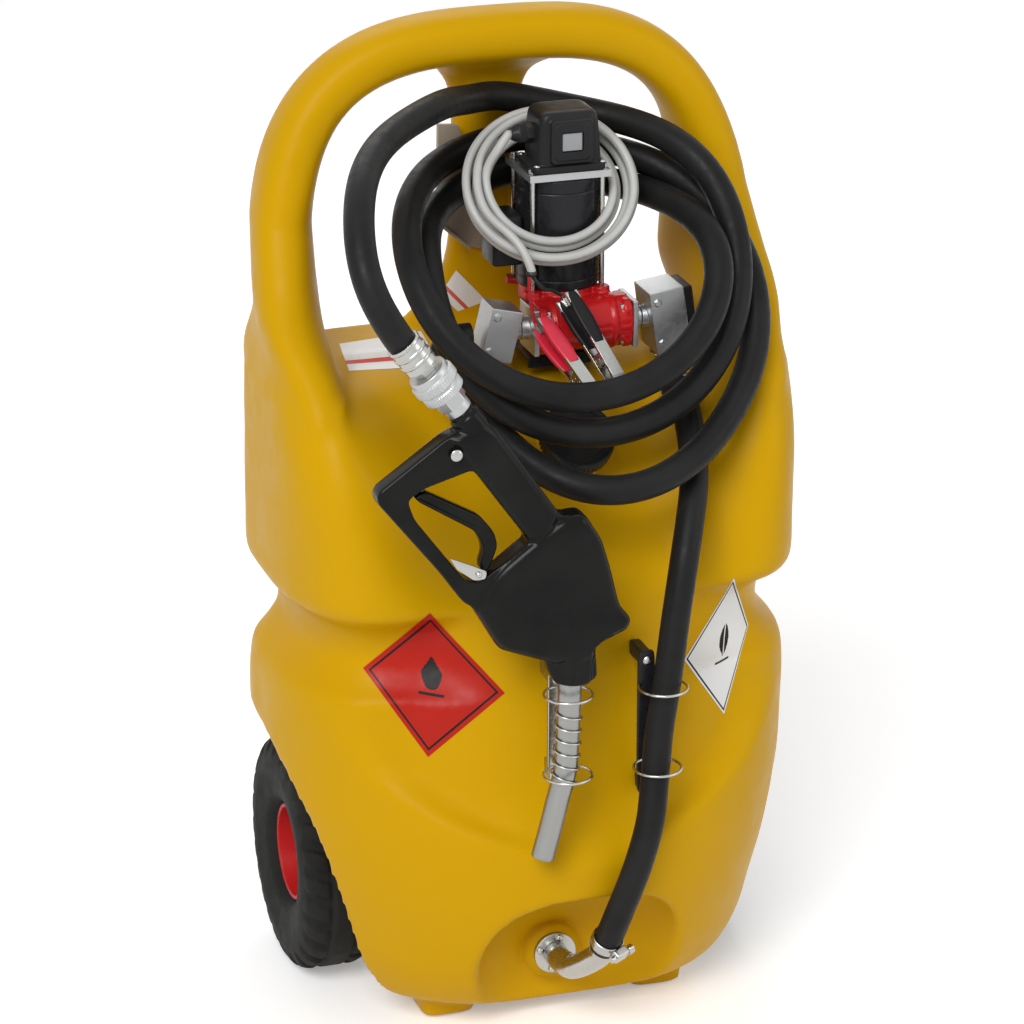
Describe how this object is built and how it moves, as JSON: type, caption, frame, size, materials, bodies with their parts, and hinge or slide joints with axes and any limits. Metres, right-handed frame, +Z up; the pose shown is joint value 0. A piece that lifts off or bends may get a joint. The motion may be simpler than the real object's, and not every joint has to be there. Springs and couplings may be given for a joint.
{
  "type": "wheeled fuel caddy",
  "caption": "Wheeled plastic fuel tank with a carry hoop, a motor pump on its seat, a coiled delivery hose with a trigger nozzle, a suction hose and battery clamp leads.",
  "frame": {"origin": "centre of the bounding box at the floor under the wheels and feet", "axes": "+Z up, +X to the right seen from the front, +Y to the back where the wheels are"},
  "size_m": [0.5708, 0.4996, 1.06],
  "materials": {
    "yellow_plastic": "moulded satin polyethylene",
    "black_plastic": "moulded satin plastic",
    "black_rubber": "smooth rubber hose",
    "tyre_rubber": "matt tyre rubber",
    "red_plastic": "moulded satin plastic",
    "red_paint": "gloss paint on cast metal",
    "black_paint": "gloss black paint",
    "zinc_steel": "bright plated steel",
    "cast_aluminium": "satin machined casting",
    "grey_cable": "soft grey cable jacket",
    "red_sleeve": "soft red sleeve",
    "grey_plastic": "moulded plastic",
    "beige_steel": "matt paint on steel plate",
    "copper_wire": "wound copper wire",
    "spout_aluminium": "bright aluminium tube"
  },
  "bodies": {
    "tank": {"tank_shell": "yellow_plastic", "axle": "zinc_steel", "axle_cap": "black_plastic", "pump_bracket": "black_paint", "pump_body": "red_paint", "motor_housing": "black_paint", "motor_top_plate": "cast_aluminium", "motor_tie_rod_1": "zinc_steel", "motor_tie_rod_2": "zinc_steel", "motor_tie_rod_3": "zinc_steel", "motor_tie_rod_4": "zinc_steel", "switch_box": "black_plastic", "cable_gland": "black_plastic", "relay_box": "black_plastic", "inlet_flange": "cast_aluminium", "outlet_flange": "cast_aluminium", "inlet_block_cover": "black_plastic", "inlet_block": "cast_aluminium", "inlet_union": "zinc_steel", "suction_hose": "black_rubber", "inlet_elbow": "cast_aluminium", "drain_flange": "zinc_steel", "drain_elbow": "zinc_steel", "suction_clamp_upper": "zinc_steel", "suction_clamp_lower": "zinc_steel", "nozzle_holder": "zinc_steel", "hose_holder": "black_paint", "hose_hook": "beige_steel", "delivery_hose_coil": "black_rubber", "outlet_block": "cast_aluminium", "outlet_elbow": "black_plastic", "delivery_hose_lead": "black_rubber", "power_cable_coil": "grey_cable", "power_cable_lead": "grey_cable", "power_cable_tail": "grey_cable", "clamp_red_arm": "red_sleeve", "lead_red": "red_sleeve", "clamp_black_arm": "black_plastic", "lead_black": "black_rubber"},
    "filler_cap": {"filler_cap": "black_plastic", "filler_cap_seal": "black_rubber"},
    "wheel_left": {"wheel_left_tyre": "tyre_rubber", "wheel_left_rim": "red_plastic", "wheel_left_bushing": "grey_plastic"},
    "wheel_right": {"wheel_right_tyre": "tyre_rubber", "wheel_right_rim": "red_plastic", "wheel_right_bushing": "grey_plastic"},
    "motor_rotor": {"motor_armature": "copper_wire"},
    "rocker": {"switch_rocker": "grey_plastic"},
    "nozzle": {"hose_ferrule": "zinc_steel", "swivel_nut": "cast_aluminium", "nozzle_body": "black_plastic", "nozzle_spout": "spout_aluminium", "spout_spring": "zinc_steel", "delivery_hose_end": "black_rubber"},
    "lever": {"nozzle_lever": "black_plastic"},
    "latch": {"lever_latch": "zinc_steel"},
    "red_jaw": {"clamp_red_jaw": "red_sleeve"},
    "black_jaw": {"clamp_black_jaw": "black_plastic"}
  },
  "joints": [
    {"name": "wheel_left_spin", "type": "hinge", "parent": "tank", "child": "wheel_left", "pos_m": [-0.215, 0.1198, 0.13], "axis": [1, 0, 0], "continuous": true},
    {"name": "wheel_right_spin", "type": "hinge", "parent": "tank", "child": "wheel_right", "pos_m": [0.215, 0.1198, 0.13], "axis": [1, 0, 0], "continuous": true},
    {"name": "filler_cap_turn", "type": "hinge", "parent": "tank", "child": "filler_cap", "pos_m": [0.0255, -0.0532, 0.634], "axis": [0, -0.7071, 0.7071], "range_deg": [0, 270]},
    {"name": "motor_spin", "type": "hinge", "parent": "tank", "child": "motor_rotor", "pos_m": [0.04, 0.0448, 0.84], "axis": [0, 0, 1], "continuous": true},
    {"name": "switch_rocker_tip", "type": "hinge", "parent": "tank", "child": "rocker", "pos_m": [0.04, 0, 0.9451], "axis": [1, 0, 0], "range_deg": [0, 8]},
    {"name": "nozzle_lift", "type": "slide", "parent": "tank", "child": "nozzle", "axis": [0.1483, 0, 0.9889], "range_m": [0, 0.04], "deforming": ["delivery_hose_end"]},
    {"name": "nozzle_lever_pull", "type": "hinge", "parent": "nozzle", "child": "lever", "pos_m": [-0.197, -0.2232, 0.662], "axis": [0, -1, 0], "range_deg": [0, 15], "stiffness_Nm_per_rad": 1.5, "springref_deg": -8.59},
    {"name": "lever_latch_turn", "type": "hinge", "parent": "nozzle", "child": "latch", "pos_m": [-0.137, -0.23708, 0.577], "axis": [0, 1, 0], "range_deg": [0, 20]},
    {"name": "clamp_red_open", "type": "hinge", "parent": "tank", "child": "red_jaw", "pos_m": [0.0182, -0.0936, 0.7206], "axis": [-0.9307, -0.3658, 0], "range_deg": [0, 6], "stiffness_Nm_per_rad": 3, "springref_deg": -5.73},
    {"name": "clamp_black_open", "type": "hinge", "parent": "tank", "child": "black_jaw", "pos_m": [0.0485, -0.0792, 0.734], "axis": [-0.9059, -0.4234, 0], "range_deg": [0, 6], "stiffness_Nm_per_rad": 3, "springref_deg": -5.73}
  ]
}
